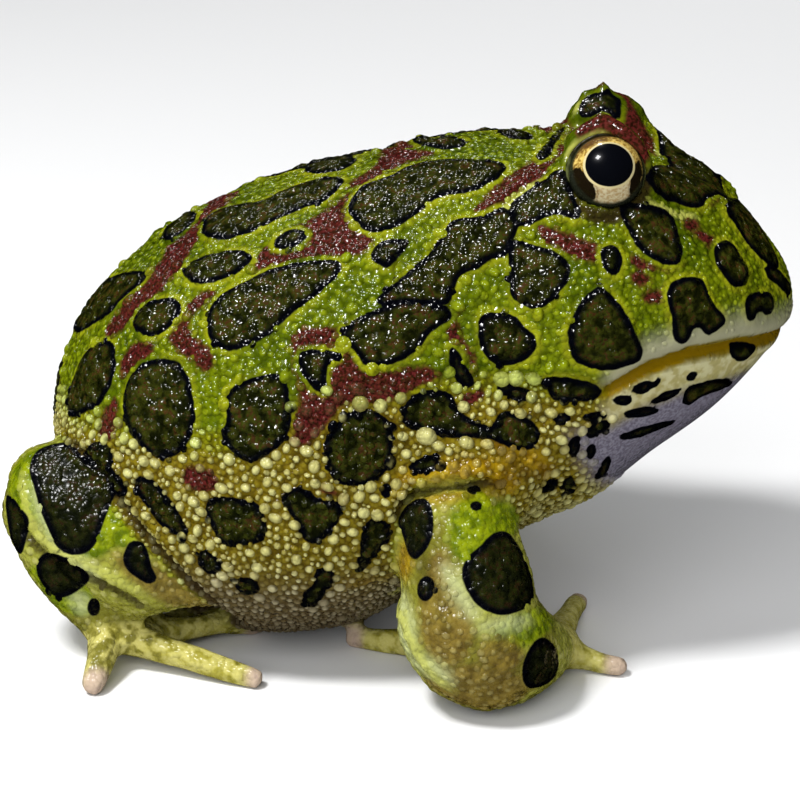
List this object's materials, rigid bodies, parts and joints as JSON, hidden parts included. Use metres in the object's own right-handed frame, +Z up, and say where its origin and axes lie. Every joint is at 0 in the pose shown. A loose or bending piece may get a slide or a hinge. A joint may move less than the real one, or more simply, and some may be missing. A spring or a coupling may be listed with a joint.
{
  "type": "argentine horned frog",
  "caption": "Life-size still model of an argentine horned frog sitting up on its forelimbs, with wide mouth, raised eyes, small eyelid horns, folded hind legs and round dark blotches.",
  "frame": {"origin": "on the floor, under the middle of the frog's bounding box", "axes": "+X towards the snout, +Y towards the frog's left side, +Z up from the floor"},
  "size_m": [0.1124, 0.0908, 0.0798],
  "materials": {
    "skin_trunk": "wet",
    "skin_head": "wet",
    "skin_throat": "damp",
    "skin_lid": "wet",
    "skin_limb": "wet",
    "skin_digits": "wet",
    "eye": "glossy"
  },
  "bodies": {
    "root": {"trunk": "skin_trunk", "head": "skin_head", "lower_jaw": "skin_throat", "eyelid_right": "skin_lid", "eyelid_left": "skin_lid", "eye_right": "eye", "eye_left": "eye", "upper_arm_right": "skin_limb", "upper_arm_left": "skin_limb", "forearm_right": "skin_limb", "forearm_left": "skin_limb", "hand_right": "skin_digits", "hand_left": "skin_digits", "thigh_right": "skin_limb", "thigh_left": "skin_limb", "shank_right": "skin_limb", "shank_left": "skin_limb", "tarsus_right": "skin_limb", "tarsus_left": "skin_limb", "foot_right": "skin_digits", "foot_left": "skin_digits"}
  },
  "joints": []
}
